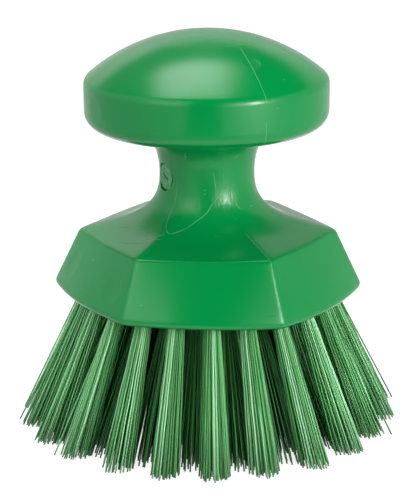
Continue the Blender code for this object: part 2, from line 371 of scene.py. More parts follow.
# %% The profile below the knob, which depends on the angle
def waist_profile(angle):
    """(radius, z) from under the knob to where the lower flare has run out on the shoulder."""
    waist = Vector((WAIST_RADIUS, WAIST_Z))
    knob_end = Vector((WAIST_RADIUS + UPPER_FLARE_WIDTH, KNOB_UNDERSIDE_Z))
    knob_handle = knob_end - Vector((UPPER_FLARE_KNOB_HANDLE, 0))
    upper_handle = waist + Vector((0, UPPER_FLARE_NECK_HANDLE))
    lower_handle = waist - Vector((0, LOWER_FLARE_NECK_HANDLE))
    flare_radius = WAIST_RADIUS + LOWER_FLARE_WIDTH
    shoulder_end = shoulder_point(flare_radius, angle)
    shoulder_handle = shoulder_point(flare_radius - LOWER_FLARE_SHOULDER_HANDLE, angle)
    upper = bezier(knob_end, knob_handle, upper_handle, waist, FLARE_STEPS)
    lower = bezier(waist, lower_handle, shoulder_handle, shoulder_end, FLARE_STEPS)
    return upper + [waist] + lower + [shoulder_end]


def foot_drop(angle):
    """How far the foot's rim hangs below the underside: most at the front right."""
    tilt = FOOT_TILT * math.cos(math.radians(angle - FOOT_TILT_SIDE))
    twist = FOOT_TWIST * math.cos(math.radians(2 * (angle - FOOT_TWIST_SIDE)))
    return FOOT_DROP + tilt + twist


def block_profile(angle):
    """(radius, z) down the shoulder, over its edge, down the skirt, round the foot and in."""
    inner = shoulder_point(WAIST_RADIUS + LOWER_FLARE_WIDTH, angle)
    edge = shoulder_point(outline_radius(angle, SHOULDER_CORNER_RADIUS, SHOULDER_BULGE), angle)
    foot_radius = outline_radius(angle, FOOT_CORNER_RADIUS, FOOT_BULGE)
    foot = Vector((foot_radius, UNDERSIDE_Z - foot_drop(angle)))
    upper = rounded(inner, edge, foot, SHOULDER_ROUNDING, EDGE_STEPS)
    lower = rounded(edge, foot, Vector((0, foot.y)), FOOT_ROUNDING, EDGE_STEPS)
    shoulder = [shoulder_point(inner.x + (upper[0].x - inner.x) * t, angle) for t in (0.35, 0.7)]
    skirt = [upper[-1].lerp(lower[0], i / SKIRT_STEPS) for i in range(1, SKIRT_STEPS)]
    return shoulder + upper + skirt + lower + [Vector((RIM_WITHIN, UNDERSIDE_Z))]


def profile_at(angle):
    return knob_profile() + waist_profile(angle) + block_profile(angle)


print(f"{len(profile_at(0))} points from the apex to the foot")


# %% [markdown]
# ## Lofting it
#
# The columns of the mesh stand close together beside each ridge, where the surface turns
# sharply, and further apart in the middle of a side, where it hardly turns at all.
#
# Thick plastic shrinks unevenly as it cools, so a real moulding is never quite true. Here the
# foot's rim hangs up to a millimetre lower at the front right, and the knob sits a hair lower
# at its left. Both are small enough to leave the solid as it is and to be shown only here.

# %% The moulding as one mesh
STEPS_FROM_RIDGE = (0, 0.25, 0.5, 0.8, 1.2, 1.7, 2.4, 3.4, 4.8, 6.6, 9, 12, 15, 18, 21, 24, 27)


def column_angles():
    """The angle of every column, once round the brush."""
    angles = []
    for corner in range(0, 360, FACET):
        angles += [corner + step for step in STEPS_FROM_RIDGE]
        angles += [corner + FACET / 2]
        angles += [corner + FACET - step for step in reversed(STEPS_FROM_RIDGE[1:])]
    return angles


def mesh_object(name, geometry, material=None):
    """An object holding the geometry, which is used up."""
    bmesh.ops.recalc_face_normals(geometry, faces=geometry.faces)
    mesh = bpy.data.meshes.new(name)
    geometry.to_mesh(mesh)
    geometry.free()
    if material:
        mesh.materials.append(material)
    return add_object(name, mesh)


def way_at(angle):
    """The level way out from the axis at an angle."""
    turn = math.radians(angle)
    return Vector((math.cos(turn), math.sin(turn), 0))


def settled(place):
    """The knob sits a hair lower than drawn, and lowest at its left."""
    share = min(max((place.z - WAIST_Z) / (KNOB_UNDERSIDE_Z - WAIST_Z), 0), 1)
    drop = KNOB_DROP - place.x * math.tan(math.radians(KNOB_TILT))
    return place - Vector((0, 0, share * drop))


def lofted_moulding():
    geometry = bmesh.new()
    columns = []
    for angle in column_angles():
        way = way_at(angle)
        places = [settled(way * p.x + Vector((0, 0, p.y))) for p in profile_at(angle)]
        columns.append([geometry.verts.new(place) for place in places])
    apex = geometry.verts.new(settled(Vector((0, 0, TOP_Z))))
    for i, column in enumerate(columns):
        after = columns[(i + 1) % len(columns)]
        geometry.faces.new((apex, column[0], after[0]))
        for j in range(len(column) - 1):
            geometry.faces.new((column[j], column[j + 1], after[j + 1], after[j]))
    geometry.faces.new([column[-1] for column in reversed(columns)])
    return geometry


moulding = mesh_object("moulding", lofted_moulding())
print(f"The moulding has {len(moulding.data.polygons)} faces in {len(column_angles())} columns")

# %% [markdown]
# ## Where the tufts go
#
# A tufting machine drills blind holes in rings, each ring leaning further out than the one
# inside it. Each hole gets a frame of its own: +Z goes up into the block along the hole, +X
# leans outwards and +Y goes around the brush. Everything in a tuft is then made in that frame.

# %% Holes
TUFTS_IN_RING = {"outer": 22, "second": 20, "third": 10, "heart": 3}
LEAN_OF_RING = {"outer": 22.6, "second": 22.1, "third": 21.4, "heart": 15}
FIRST_TUFT_ANGLE = {"outer": 12.3, "second": 14.1, "third": 2, "heart": 20}
OUTER_RING_RADIUS = 0.0343
HEART_RING_RADIUS = 0.0068
HOLE_RADIUS = 0.0025
HOLE_DEPTH = 0.0095
HOLE_SIDES = 28


def tuft_places():
    """(name, ring, frame at the middle of the hole's mouth) of every tuft."""
    places = []
    spacing = (OUTER_RING_RADIUS - HEART_RING_RADIUS) / (len(TUFTS_IN_RING) - 1)
    for row, (ring, count) in enumerate(TUFTS_IN_RING.items()):
        for i in range(count):
            turn = Matrix.Rotation(math.radians(FIRST_TUFT_ANGLE[ring] + 360 * i / count), 4, "Z")
            mouth = turn @ Matrix.Translation((OUTER_RING_RADIUS - row * spacing, 0, UNDERSIDE_Z))
            lean = Matrix.Rotation(-math.radians(LEAN_OF_RING[ring]), 4, "Y")
            places.append((f"{ring}_{i + 1:02d}", ring, mouth @ lean))
    return places


def prism(geometry, corners, top_corners):
    """Adds a closed solid between two outlines with the same number of corners."""
    low = [geometry.verts.new(corner) for corner in corners]
    high = [geometry.verts.new(corner) for corner in top_corners]
    geometry.faces.new(reversed(low))
    geometry.faces.new(high)
    for i, corner in enumerate(low):
        after = (i + 1) % len(low)
        geometry.faces.new((corner, low[after], high[after], high[i]))


def circle(radius, z, sides):
    steps = (2 * math.pi * i / sides for i in range(sides))
    return [Vector((radius * math.cos(a), radius * math.sin(a), z)) for a in steps]


def hole_cutters():
    geometry = bmesh.new()
    for _, _, place in tuft_places():
        low = [place @ p for p in circle(HOLE_RADIUS, -HOLE_DEPTH, HOLE_SIDES)]
        high = [place @ p for p in circle(HOLE_RADIUS, HOLE_DEPTH, HOLE_SIDES)]
        prism(geometry, low, high)
    return geometry


def boolean(target, other, operation):
    """Cuts or joins with another object, which is used up."""
    modifier = target.modifiers.new(operation, "BOOLEAN")
    modifier.operation = operation
    modifier.solver = "EXACT"
    modifier.object = other
    bpy.context.view_layer.update()
    graph = bpy.context.evaluated_depsgraph_get()
    cut = bpy.data.meshes.new_from_object(target.evaluated_get(graph))
    target.modifiers.clear()
    target.data = cut
    bpy.data.objects.remove(other)


boolean(moulding, mesh_object("hole_cutters", hole_cutters()), "DIFFERENCE")
print(f"Drilled {len(tuft_places())} holes")

# %% [markdown]
# ## The mould's marks
#
# A moulding tells how it was made. A round insert in the mould leaves a small flat dial in the
# waist, with a slot across it, and others leave faint round dishes on the sides. The two halves
# of the mould leave a fine raised line where they meet, and the plastic leaves pale flow lines
# and wrinkles where it closed round the neck.
#
# The dial is deep enough to show its walls, so it is cut into the mesh. The lines are beads:
# narrow ridges laid on the surface, which stay sharp in a close view where a painted line would
# blur. The dishes are too shallow for a mesh and follow with the finishes.

# %% The dial
DIAL_ANGLE = 210
DIAL_RADIUS = 0.004
DIAL_DEPTH = 0.00035
DIAL_GUTTER_WIDTH = 0.0002
DIAL_GUTTER_DEPTH = 0.0004
DIAL_SLOT_LENGTH = 0.0034
DIAL_SLOT_WIDTH = 0.00055
DIAL_SLOT_DEPTH = 0.0003
DIAL_SLOT_SLOPE = 24
DIAL_SIDES = 48


def disc(radius, low, high):
    geometry = bmesh.new()
    prism(geometry, circle(radius, low, DIAL_SIDES), circle(radius, high, DIAL_SIDES))
    return geometry


def slot():
    geometry = bmesh.new()
    turn = Matrix.Rotation(math.radians(-DIAL_SLOT_SLOPE), 3, "Z")
    x, y = DIAL_SLOT_WIDTH / 2, DIAL_SLOT_LENGTH / 2
    floor = WAIST_RADIUS - DIAL_DEPTH - DIAL_SLOT_DEPTH
    corners = [(-x, -y), (x, -y), (x, y), (-x, y)]
    low = [turn @ Vector((*corner, floor)) for corner in corners]
    high = [turn @ Vector((*corner, WAIST_RADIUS)) for corner in corners]
    prism(geometry, low, high)
    return geometry


turned = Matrix.Rotation(math.radians(DIAL_ANGLE), 4, "Z")
facing_out = turned @ Matrix.Rotation(math.radians(90), 4, "Y")
dial_place = Matrix.Translation((0, 0, WAIST_Z)) @ facing_out
dial_floor = WAIST_RADIUS - DIAL_DEPTH
gutter = disc(DIAL_RADIUS, dial_floor - DIAL_GUTTER_DEPTH, 2 * WAIST_RADIUS)
face = disc(DIAL_RADIUS - DIAL_GUTTER_WIDTH, WAIST_RADIUS / 2, dial_floor)
dial_steps = [
    ("dial_gutter", gutter, "DIFFERENCE"),
    ("dial_face", face, "UNION"),
    ("dial_slot", slot(), "DIFFERENCE"),
]
for name, geometry, operation in dial_steps:
    step = mesh_object(name, geometry)
    step.matrix_world = dial_place
    boolean(moulding, step, operation)
print(f"The dial is {2000 * DIAL_RADIUS:.0f} mm across")

# %% Smooth shading, and finding the surface
REACH = 0.1
SHARP_EDGE = 28


def on_surface(angle, height):
    """The place on the moulding at that angle and height, and the way out of its surface."""
    way = way_at(angle)
    _, place, out, _ = moulding.ray_cast(way * REACH + Vector((0, 0, height)), -way)
    return place, out


moulding.data.shade_smooth()
moulding.data.set_sharp_from_angle(angle=math.radians(SHARP_EDGE))
print(f"With its holes and its dial the moulding has {len(moulding.data.polygons)} faces")

# %% Beads: narrow ridges that lie half sunk on the moulding
BEAD_OUTLINE = ((-1, 0), (-0.6, 0.7), (0, 1), (0.6, 0.7), (1, 0))
BEAD_SUNK = 0.00006
BEAD_STEP = 0.0003


def smooth_path(points, steps=10):
    """More points between those given, on one smooth curve through all of them."""
    points = np.array(points, float)
    padded = np.concatenate([2 * points[:1] - points[1:2], points, 2 * points[-1:] - points[-2:-1]])
    path = []
    for a, b, c, d in zip(padded, padded[1:], padded[2:], padded[3:]):
        for t in np.arange(steps) / steps:
            curve = 2 * b + (c - a) * t
            curve += (2 * a - 5 * b + 4 * c - d) * t**2 + (3 * b - a - 3 * c + d) * t**3
            path.append(curve / 2)
    return path + [points[-1]]


def add_bead(geometry, spots, half_widths, heights):
    """Sweeps the bead's outline along places that each come with the way out.

    A height below nought sinks that part of the bead out of sight.
    """
    rings = []
    for i, (place, out) in enumerate(spots):
        ahead = spots[min(i + 1, len(spots) - 1)][0] - spots[max(i - 1, 0)][0]
        side = out.cross(ahead).normalized()
        ring = []
        for across, up in BEAD_OUTLINE:
            lift = heights[i] * up - BEAD_SUNK * (up == 0 or heights[i] < 0)
            ring.append(geometry.verts.new(place + side * (across * half_widths[i]) + out * lift))
        rings.append(ring)
    for ring, after in zip(rings, rings[1:]):
        for j in range(len(ring)):
            k = (j + 1) % len(ring)
            geometry.faces.new((ring[j], ring[k], after[k], after[j]))
    geometry.faces.new(rings[0])
    geometry.faces.new(list(reversed(rings[-1])))


def unevenness(rng, count, least, most, reach):
    """A factor for each spot of a bead: the mean of random ones at the spots around it."""
    return np.convolve(rng.uniform(least, most, count), np.ones(reach) / reach, "same")


def add_line(geometry, points, half_width, height, rng):
    """A bead through (angle, height) points, uneven along its length and thinner at both ends."""
    spots = [on_surface(*point) for point in smooth_path(points)]
    taper = np.sin(np.linspace(0.1, math.pi - 0.1, len(spots))) ** 0.5
    taper *= unevenness(rng, len(spots), 0.3, 1.7, reach=5)
    add_bead(geometry, spots, half_width * taper, height * taper)


# %% The parting line, where the two halves of the mould met
PARTING_ANGLE = 300
LINE_HALF_WIDTH = 0.00010
LINE_HEIGHT = 0.00002
LOWEST_LINE_Z = UNDERSIDE_Z - 0.0002
# Over the dome the line wanders sideways. The first number is a radius, the second how far
DRIFT_IN_FRONT = [(0.0158, 0.0020), (0.026, 0.0007), (0.0349, -0.0002)]
DRIFT_BEHIND = [(0.0158, 0.0), (0.04, 0.0)]


def parting_line(angle, drift):
    """Places down one side, from near the apex to the foot, each with its way out."""
    way = way_at(angle)
    side = Vector((0, 0, 1)).cross(way)
    coarse = [p for p in profile_at(angle) if p.x > drift[0][0] or p.y < KNOB_UNDERSIDE_Z]
    coarse = [p for p in coarse if p.y > LOWEST_LINE_Z]
    path = []
    for a, b in zip(coarse, coarse[1:]):
        count = max(1, round((b - a).length / BEAD_STEP))
        path += [a.lerp(b, i / count) for i in range(count)]
    spots = []
    for i, p in enumerate(path):
        ahead = path[min(i + 1, len(path) - 1)] - path[max(i - 1, 0)]
        on_knob = p.y > KNOB_UNDERSIDE_Z + KNOB_LOWER_ROUNDING / 2
        away = np.interp(p.x, *zip(*drift)) if on_knob else 0
        out = way * -ahead.y + Vector((0, 0, ahead.x))
        spots.append((settled(way * p.x + side * away + Vector((0, 0, p.y))), out.normalized()))
    return spots


# The first number is a height above the tips, the second how strong the line is there. Below
# nought the line is out of sight.
LINE_STRENGTH = [
    (0.037, 0.4), (0.042, 0.7), (0.050, 0.9), (0.0555, 1.1), (0.0566, 0.5), (0.058, 1.1),
    (0.0606, 0.8), (0.0614, -1), (0.0872, -1), (0.0885, 0.9), (0.0905, 1.5), (0.0945, 1.3),
    (0.0962, -1), (0.0995, -1), (0.1008, 0.6), (0.112, 0.9), (0.116, 0.3),
]
THINNEST_SHARE = 0.4
flash = bmesh.new()
rng = np.random.default_rng(3)
for angle, drift in ((PARTING_ANGLE, DRIFT_IN_FRONT), (PARTING_ANGLE - 180, DRIFT_BEHIND)):
    spots = parting_line(angle, drift)
    heights = np.array([place.z for place, _ in spots])
    strength = np.interp(heights, *zip(*LINE_STRENGTH))
    rough = unevenness(rng, len(spots), 0.4, 1.6, reach=3)
    share = THINNEST_SHARE + (1 - THINNEST_SHARE) * np.maximum(strength, 0)
    add_bead(flash, spots, LINE_HALF_WIDTH * share * rough, LINE_HEIGHT * strength * rough)
print(f"The parting line has {len(flash.faces)} faces")

# %% Flow lines, where the plastic closed round the neck
FLOW_HALF_WIDTH = 0.00012
FLOW_HEIGHT = 0.00003
# Each point is an angle and a height, and so is each speck
FLOW_LINES = [
    [(233.5, 0.0745), (233.7, 0.0717), (234, 0.0689), (232.6, 0.0655), (234.4, 0.0630),
     (238, 0.0618), (242.6, 0.0610), (245.6, 0.0609), (250, 0.0614), (255.8, 0.0624),
     (262.7, 0.0639), (271.1, 0.0656), (277, 0.0677), (282.2, 0.0691), (287.8, 0.0705),
     (292.1, 0.0730), (292, 0.0766)],
    [(278.5, 0.0775), (281.2, 0.0745), (282.4, 0.0719), (282.4, 0.0695)],
    [(309.9, 0.0714), (306.6, 0.0689), (305.9, 0.0674), (307.5, 0.0665), (309.8, 0.0661)],
    [(211.6, 0.0593), (221.3, 0.0592), (231.2, 0.0593), (239.3, 0.0598), (243, 0.0598)],
    [(237, 0.0601), (240.7, 0.0608)],
    [(229.8, 0.0573), (234.6, 0.0577)],
    [(321.8, 0.0660), (328.6, 0.06595)],
    [(249.8, 0.0829), (248, 0.0822), (249, 0.0816), (247.2, 0.0812)],
    [(308.6, 0.0817), (303, 0.0806)],
    [(268.2, 0.07175), (269.5, 0.0719), (270.9, 0.0717)],
    [(268.0, 0.0706), (269.4, 0.0708), (270.9, 0.0706)],
]
SPECKS = [
    (207.2, 0.0519), (278.5, 0.0606), (280.7, 0.0605), (299.4, 0.0639), (318.9, 0.0606),
    (249.1, 0.0640), (316.1, 0.1053), (276.1, 0.1037), (280.3, 0.1037), (305.5, 0.0989),
    (246, 0.0453), (209.3, 0.0918),
]
SPECK_REACH = 0.3
SPECK_HALF_WIDTH = 0.00013
for points in FLOW_LINES:
    add_line(flash, points, FLOW_HALF_WIDTH, FLOW_HEIGHT, rng)
for angle, height in SPECKS:
    ends = [(angle - SPECK_REACH, height), (angle + SPECK_REACH, height)]
    add_line(flash, ends, SPECK_HALF_WIDTH, FLOW_HEIGHT, rng)
parting = mesh_object("mould_lines", flash)
parting.data.shade_smooth()
print(f"{len(FLOW_LINES)} flow lines and {len(SPECKS)} specks")

# %% Wrinkles, as raised as the flow lines but not paler than the plastic
WRINKLE_HALF_WIDTH = 0.00013
WRINKLE_HEIGHT = 0.00004
WRINKLES = [
    [(213.5, 0.0575), (220.1, 0.0578), (227, 0.0582), (233.2, 0.0587)],
    [(196, 0.0590), (203.6, 0.0596)],
    [(216, 0.0600), (224, 0.0606)],
    [(297.6, 0.04465), (299.3, 0.04445)],
    [(293.2, 0.0427), (298.7, 0.04245)],
    [(283.45, 0.1118), (282.2, 0.11194), (280.95, 0.1118), (282.2, 0.11166), (283.45, 0.1118)],
]
folds = bmesh.new()
for points in WRINKLES:
    add_line(folds, points, WRINKLE_HALF_WIDTH, WRINKLE_HEIGHT, rng)
wrinkles = mesh_object("wrinkles", folds)
wrinkles.data.shade_smooth()
print(f"{len(WRINKLES)} wrinkles")

# %% [markdown]
# ## The tufts
#
# A real tuft is a bundle of plastic filaments, each about half a millimetre thick. The tufting
# machine folds the bundle in the middle over a small steel staple and punches both into the
# hole, so every filament shows two ends. They stand packed side by side in the mouth and
# spread out a little towards the tips, which are trimmed to one plane after all the tufts are in.
#
# Hair particles could draw this, but an exported model would lose them. Here each filament's
# path is worked out as a row of points, and a narrow tube is swept along it. Arrays do this for
# a whole tuft at once, because one tuft has thousands of faces.

# %% How filaments are packed in a hole
FILAMENT_RADIUS = 0.00024
FILAMENT_SIDES = 5
FILAMENT_PITCH = 0.0005
PACKED_RADIUS = 0.0022
MOST_ROWS = 6


def packed_spots():
    """Where one end of each filament stands in the hole's mouth. The other end faces it."""
    spots = []
    for row in range(MOST_ROWS):
        x = FILAMENT_PITCH * (0.5 + row * math.sqrt(3) / 2)
        for step in range(-MOST_ROWS, MOST_ROWS + 1):
            y = FILAMENT_PITCH * (step + row % 2 / 2)
            if math.hypot(x, y) < PACKED_RADIUS:
                spots.append((x, y))
    return np.array(spots)


SPOTS = packed_spots()
print(f"A tuft has {len(SPOTS)} filaments, so {2 * len(SPOTS)} ends")

# %% The path of one end, from the mouth to its tip
LEG_STEPS = 18
TIP_RADIUS = {
    "outer": (0.0042, 0.0050),
    "second": (0.0062, 0.0072),
    "third": (0.0078, 0.0088),
    "heart": (0.007, 0.008),
}
TIP_SCATTER = 0.00014
TUFT_SWAY = 0.0004
STRAYS_IN_TUFT = (1, 3)
STRAY_REACH = 0.0025
WAVE_LENGTH = (0.010, 0.017)
WAVE_HEIGHT = (0.00002, 0.00009)
WAVE_GROWTH = 0.008
WAVE_START = 7
TIP_RAGGEDNESS = 0.0002
MOST_RAGGED = 0.0007


def leg(rng, place, mouths, tips):
    """Points down from the mouth to where each filament was trimmed, and the height of that.

    The points are indexed by filament, by point and by x, y and z.
    """
    count = len(mouths)
    length = UNDERSIDE_Z / place[2][2]
    slopes = (tips - mouths) / length
    trimmed = np.minimum(np.abs(rng.normal(0, TIP_RAGGEDNESS, count)), MOST_RAGGED)
    fall = place[2][2] - slopes @ place[2][:2]
    reach = (mouths @ place[2][:2] + place[2][3] - trimmed) / fall
    down = np.linspace(0, 1, LEG_STEPS + 1)[None, :] * reach[:, None]
    way = rng.uniform(0, 2 * math.pi, count)
    turns = down / rng.uniform(*WAVE_LENGTH, (count, 1))
    wave = np.sin(2 * math.pi * turns + rng.uniform(0, WAVE_START, (count, 1)))
    wave *= rng.uniform(*WAVE_HEIGHT, (count, 1)) * np.minimum(down / WAVE_GROWTH, 1)
    x = mouths[:, :1] + slopes[:, :1] * down + wave * np.cos(way)[:, None]
    y = mouths[:, 1:] + slopes[:, 1:] * down + wave * np.sin(way)[:, None]
    return np.stack([x, y, -down], axis=2), trimmed


def tip_spots(rng, mouths, spread, sway):
    """Where the ends at those mouths reach, before they are trimmed. A few stray from the rest."""
    tips = mouths * spread + sway + rng.normal(0, TIP_SCATTER, mouths.shape)
    strays = rng.choice(len(tips), rng.integers(*STRAYS_IN_TUFT, endpoint=True), replace=False)
    tips[strays] += rng.uniform(-STRAY_REACH, STRAY_REACH, (len(strays), 2))
    return tips


# %% The whole path, folded in the hole
FOLD_Z = 0.0067
FOLD_STEPS = 6


def fold(mouths):
    """Points up the hole from the mouth, over the staple, and back down the other side."""
    turn = np.linspace(0, math.pi, FOLD_STEPS + 1)[None, :]
    x = mouths[:, :1] * np.cos(turn)
    z = FOLD_Z + mouths[:, :1] * np.sin(turn)
    return np.stack([x, np.repeat(mouths[:, 1:], FOLD_STEPS + 1, axis=1), z], axis=2)


def filament_paths(rng, place, ring):
    """Points along every filament of a tuft, and the heights at which its two tips were trimmed."""
    spread = rng.uniform(*TIP_RADIUS[ring]) / PACKED_RADIUS
    sway = rng.normal(0, TUFT_SWAY, 2)
    facing = SPOTS * (-1, 1)
    near, near_trim = leg(rng, place, SPOTS, tip_spots(rng, SPOTS, spread, sway))
    far, far_trim = leg(rng, place, facing, tip_spots(rng, facing, spread, sway))
    return np.concatenate([near[:, ::-1], fold(SPOTS), far], axis=1), near_trim, far_trim


print(f"A filament has {2 * (LEG_STEPS + 1) + FOLD_STEPS + 1} points")


# %% [markdown]
# ## Sweeping the tubes
#
# At every point of a path a five-sided ring is set square to it. The paths never run along +Y
# of their hole, so the cross product of +Y and the path gives each ring the same upright, and no
# tube twists. The two end rings are cut level, because the tips were trimmed to one plane. Each
# filament also gets its own strip of a texture map, for programs that need one.


# %% From paths to a mesh
def swept_rings(paths):
    """Rings round every point of every path: filament, point, side, (x, y, z)."""
    ways = np.gradient(paths, axis=1)
    ways /= np.linalg.norm(ways, axis=2, keepdims=True)
    across = np.cross([0, 1, 0], ways)
    across /= np.linalg.norm(across, axis=2, keepdims=True)
    other = np.cross(ways, across)
    turn = 2 * math.pi * np.arange(FILAMENT_SIDES) / FILAMENT_SIDES
    around = np.cos(turn)[:, None] * across[:, :, None] + np.sin(turn)[:, None] * other[:, :, None]
    return paths[:, :, None] + FILAMENT_RADIUS * around


def in_world(place, points):
    matrix = np.array(place)
    return points @ matrix[:3, :3].T + matrix[:3, 3]


def cut_level(rings, end, inner, height):
    """Slides an end ring along its tube until it lies level, at each filament's own height."""
    way = rings[:, end].mean(axis=1) - rings[:, inner].mean(axis=1)
    missing = height[:, None] - rings[:, end, :, 2]
    rings[:, end] += way[:, None] * (missing / way[:, None, 2])[:, :, None]


def tube_faces(count, points):
    """The corners of every face, for that many tubes of that many rings."""
    side = np.arange(FILAMENT_SIDES)
    after = (side + 1) % FILAMENT_SIDES
    ring = np.arange(points - 1)[:, None] * FILAMENT_SIDES
    corners = [ring + side, ring + after]
    corners += [corner + FILAMENT_SIDES for corner in reversed(corners)]
    quads = np.stack(corners, 2)
    last = (points - 1) * FILAMENT_SIDES + side
    starts = np.arange(count) * points * FILAMENT_SIDES
    walls = quads.reshape(-1, 4)[None] + starts[:, None, None]
    ends = np.stack([side[::-1], last])[None] + starts[:, None, None]
    return walls.reshape(-1, 4).tolist(), ends.reshape(-1, FILAMENT_SIDES).tolist()


STRIP_MARGIN = 0.1
STRIP_CAP = 0.02


def strip_map(count, points):
    """A texture place for every corner of every face: one upright strip for each filament."""
    side = np.arange(FILAMENT_SIDES)
    across = np.stack([side, side + 1, side + 1, side], 1) / FILAMENT_SIDES
    row = np.arange(points - 1)[:, None]
    along = np.stack([row, row, row + 1, row + 1], 2) / (points - 1)
    u = np.broadcast_to(across[None], (points - 1, FILAMENT_SIDES, 4))
    v = np.broadcast_to(along, (points - 1, FILAMENT_SIDES, 4))
    u = STRIP_MARGIN + (1 - 2 * STRIP_MARGIN) * u
    v = STRIP_CAP + (1 - 2 * STRIP_CAP) * v
    walls = np.stack([u, v], 3).reshape(1, -1, 2)
    turn = 2 * math.pi * side / FILAMENT_SIDES
    cap = np.stack([0.5 + 0.3 * np.cos(turn), STRIP_CAP * (0.5 + 0.4 * np.sin(turn))], 1)
    ends = np.stack([cap[::-1], cap + (0, 1 - STRIP_CAP)]).reshape(1, -1, 2)
    shift = np.stack([np.arange(count), np.zeros(count)], 1)[:, None]
    scale = np.array([1 / count, 1])
    return np.concatenate([((part + shift) * scale).reshape(-1) for part in (walls, ends)])


# %% One tuft as an object
# From nought, the darkest, to one, the palest. Within a ring the tone differs at random, and the
# lower ranges of the inner rings are painted shade, as little light gets in between them.
TONE_AND_PAINTED_SHADE_OF_RING = {
    "outer": (0.2, 1),
    "second": (0.05, 0.45),
    "third": (0, 0.25),
    "heart": (0, 0.3),
}


def tuft_object(rng, name, place, ring, material):
    paths, near_trim, far_trim = filament_paths(rng, place, ring)
    count, points = paths.shape[:2]
    rings = in_world(place, swept_rings(paths))
    cut_level(rings, 0, 1, near_trim)
    cut_level(rings, -1, -2, far_trim)
    walls, ends = tube_faces(count, points)
    mesh = bpy.data.meshes.new(name)
    mesh.from_pydata(rings.reshape(-1, 3).tolist(), [], walls + ends)
    mesh.polygons.foreach_set("use_smooth", [True] * len(walls) + [False] * len(ends))
    mesh.uv_layers.new(name="OFBake").data.foreach_set("uv", strip_map(count, points))
    steps = np.linalg.norm(np.diff(paths, axis=1), axis=2)
    along = np.concatenate([np.zeros((count, 1)), np.cumsum(steps, axis=1)], axis=1)
    stored = {
        "shade": np.repeat(rng.uniform(*TONE_AND_PAINTED_SHADE_OF_RING[ring], count), points * FILAMENT_SIDES),
        "along": np.repeat(along.reshape(-1), FILAMENT_SIDES),
    }
    for attribute, values in stored.items():
        mesh.attributes.new(attribute, "FLOAT", "POINT").data.foreach_set("value", values)
    mesh.materials.append(material)
    return add_object(name, mesh)


# %% [markdown]
# ## Staples
#
# A staple is a U of flat steel wire. Its bridge holds the fold and its legs bite into the floor
# of the hole. Nobody sees it until a tuft is pulled out, but without it nothing would hold the
# tuft. The solids of the heart ring already have their staples, so only the others get one here.

# %% One staple
STAPLE_SPAN = 0.004
STAPLE_LEG = 0.0048
STAPLE_THICKNESS = 0.0005
STAPLE_WIDTH = 0.0012
STAPLE_BITE = 0.0015
STAPLE_EDGE = 0.00008


def staple_object(name, place, material):
    """A U of flat wire in the floor of the hole, with its sharp edges broken."""
    geometry = bmesh.new()
    outer = STAPLE_SPAN / 2
    inner = outer - STAPLE_THICKNESS
    feet = HOLE_DEPTH + STAPLE_BITE
    bridge = feet - STAPLE_LEG
    crown = bridge + STAPLE_THICKNESS
    outline = [(-outer, feet), (-outer, bridge), (outer, bridge), (outer, feet)]
    outline += [(inner, feet), (inner, crown), (-inner, crown), (-inner, feet)]
    low = [place @ Vector((-STAPLE_WIDTH / 2, y, z)) for y, z in outline]
    high = [place @ Vector((STAPLE_WIDTH / 2, y, z)) for y, z in outline]
    prism(geometry, low, high)
    bmesh.ops.bevel(geometry, geom=geometry.edges[:], offset=STAPLE_EDGE, segments=1, affect="EDGES")
    return mesh_object(name, geometry, material)


print(f"A staple's feet are driven {1000 * (HOLE_DEPTH + STAPLE_BITE):.1f} mm deep")

# %% [markdown]
# ## The green plastic
#
# The plastic is one green all through under a smooth skin, and only that skin says plastic and
# not paint. It has faint waves from the mould's polish, upright drag marks in the neck where
# the mould slid off, a dish at every round insert, a scuffed dial, and a scraped spot beside
# the front corner. All of these are heights in one bump, because a glossy surface shows its
# shape by how it bends the reflections and hardly by its colour.
#
# The lines get a finish of their own. They are paler, since the plastic is thin and stressed
# in them.

# %% The skin of the green plastic, as one height
NECK_EDGE = (0.0185, 0.0150)
NECK_FOOT = (0.058, 0.064)
STREAK_HEIGHT = 0.00013
WAVE_OF_SKIN = 0.00003
SCUFFED = (0.0039, 0.0036)
SCUFF_HEIGHT = 0.0001
SCRAPED_SPOT = (297.5, 0.0428)
SCRAPED_REACH = (0.0048, 0.0015)
SCRATCH_DEPTH = 0.000012

plastic = finish("green_plastic")
east, north, up = plastic.axes()
from_axis = (east * east + north * north).maths("SQRT")
neck = plastic.ramp(from_axis, *NECK_EDGE) * plastic.ramp(up, *NECK_FOOT)
streaks = plastic.noise(1000, 3.0, 0.6, plastic.stretched(1, 1, 0.05))
skin = plastic.noise(110, 2.0)
height = skin * WAVE_OF_SKIN + streaks * neck * STREAK_HEIGHT
dial_middle = dial_place.translation + facing_out.col[2].xyz * WAIST_RADIUS
dial = plastic.ramp(plastic.distance_to(dial_middle), *SCUFFED)
scuffs = plastic.noise(700, 4.0, 0.7)
height = height + dial * scuffs * SCUFF_HEIGHT
scraped = plastic.ramp(plastic.distance_to(on_surface(*SCRAPED_SPOT)[0]), *SCRAPED_REACH)
scratches = plastic.ramp(plastic.noise(160, 2.0, 0.6, plastic.stretched(1, 1, 26)), 0.56, 0.66)
height = height - scraped * scratches * SCRATCH_DEPTH
print(f"{len(plastic.tree.nodes)} nodes so far")

# %% The dish that each round insert of the mould left
INSERT_RIM = 0.0001
INSERT_LIP = 0.000015
# Angle, height and radius of each insert, and the radius of the sphere that its dish is cut from
INSERTS = [
    (191, 0.048, 0.0042, 0.06),
    (230, 0.0475, 0.0042, 0.06),
    (210, 0.0958, 0.0036, 0.045),
    (304, 0.1096, 0.0027, 0.022),
]

